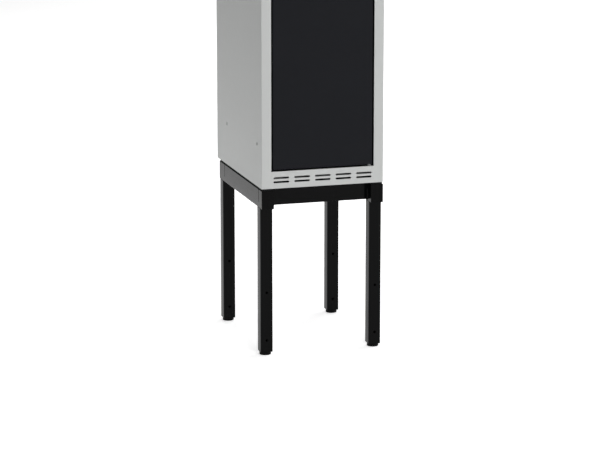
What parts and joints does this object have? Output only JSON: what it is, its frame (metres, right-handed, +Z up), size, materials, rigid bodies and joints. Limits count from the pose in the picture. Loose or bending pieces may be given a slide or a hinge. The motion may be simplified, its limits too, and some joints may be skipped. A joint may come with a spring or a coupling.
{
  "type": "storage locker",
  "caption": "Tall narrow steel storage locker with one flush hinged door, vented frame rails and an inner shelf, on an open square-tube stand with adjustable round feet.",
  "frame": {"origin": "on the floor, under the middle of the bounding box", "axes": "+X to the right, +Y to the back (the door faces -Y), +Z up"},
  "size_m": [0.3, 0.403, 2.148],
  "materials": {
    "body_paint": "satin light grey powder coat",
    "door_paint": "satin near-black powder coat",
    "stand_paint": "semi-gloss black powder coat",
    "black_plastic": "matt black moulded plastic",
    "rubber_black": "matt black rubber",
    "zinc_steel": "bright zinc plating",
    "lock_nickel": "satin nickel plating",
    "cast_aluminium": "as-cast aluminium"
  },
  "bodies": {
    "cabinet": {"side_left": "body_paint", "side_right": "body_paint", "back_panel": "body_paint", "roof_pan": "body_paint", "floor_pan": "body_paint", "damping_mat": "rubber_black", "rail_bottom": "body_paint", "rail_top": "body_paint", "hat_shelf": "body_paint", "shelf_runners": "body_paint", "coat_rail": "zinc_steel", "coat_rail_cups": "zinc_steel", "door_stops": "body_paint", "door_seal": "rubber_black", "pivot_bottom": "body_paint", "pivot_top": "body_paint", "strike_plate": "zinc_steel", "seat_strips": "rubber_black", "seat_bolts": "zinc_steel", "seat_nuts": "zinc_steel", "stand_rail_left": "stand_paint", "stand_rail_right": "stand_paint", "cross_rail_front": "stand_paint", "cross_rail_back": "stand_paint", "rail_caps": "black_plastic", "leg_front_left": "stand_paint", "leg_front_right": "stand_paint", "leg_back_left": "stand_paint", "leg_back_right": "stand_paint", "leg_spigots": "cast_aluminium", "leg_bolts": "stand_paint", "foot_inserts": "black_plastic"},
    "door": {"door_pan": "door_paint", "door_stiffener": "door_paint", "door_buffers": "rubber_black", "door_bushes": "zinc_steel", "lock_body": "lock_nickel", "lock_nut": "zinc_steel"},
    "lock_cam_body": {"lock_plug": "lock_nickel", "lock_cam": "zinc_steel", "cam_screw": "zinc_steel"},
    "hook_left_body": {"hook_left": "zinc_steel"},
    "hook_right_body": {"hook_right": "zinc_steel"},
    "foot_front_left_body": {"foot_front_left": "black_plastic"},
    "foot_front_right_body": {"foot_front_right": "black_plastic"},
    "foot_back_left_body": {"foot_back_left": "black_plastic"},
    "foot_back_right_body": {"foot_back_right": "black_plastic"}
  },
  "joints": [
    {"name": "door_hinge", "type": "hinge", "parent": "cabinet", "child": "door", "pos_m": [0.117, -0.1915, 0.408], "axis": [0, 0, 1], "range_deg": [0, 100]},
    {"name": "lock_cam_turn", "type": "hinge", "parent": "door", "child": "lock_cam_body", "pos_m": [-0.0878, -0.1985, 1.278], "axis": [0, 1, 0], "range_deg": [0, 90]},
    {"name": "hook_left_slide", "type": "slide", "parent": "cabinet", "child": "hook_left_body", "axis": [1, 0, 0], "range_m": [-0.08, 0.035]},
    {"name": "hook_right_slide", "type": "slide", "parent": "cabinet", "child": "hook_right_body", "axis": [1, 0, 0], "range_m": [-0.035, 0.08]},
    {"name": "foot_front_left_adjust", "type": "slide", "parent": "cabinet", "child": "foot_front_left_body", "axis": [0, 0, -1], "range_m": [0, 0.015]},
    {"name": "foot_front_right_adjust", "type": "slide", "parent": "cabinet", "child": "foot_front_right_body", "axis": [0, 0, -1], "range_m": [0, 0.015]},
    {"name": "foot_back_left_adjust", "type": "slide", "parent": "cabinet", "child": "foot_back_left_body", "axis": [0, 0, -1], "range_m": [0, 0.015]},
    {"name": "foot_back_right_adjust", "type": "slide", "parent": "cabinet", "child": "foot_back_right_body", "axis": [0, 0, -1], "range_m": [0, 0.015]}
  ]
}
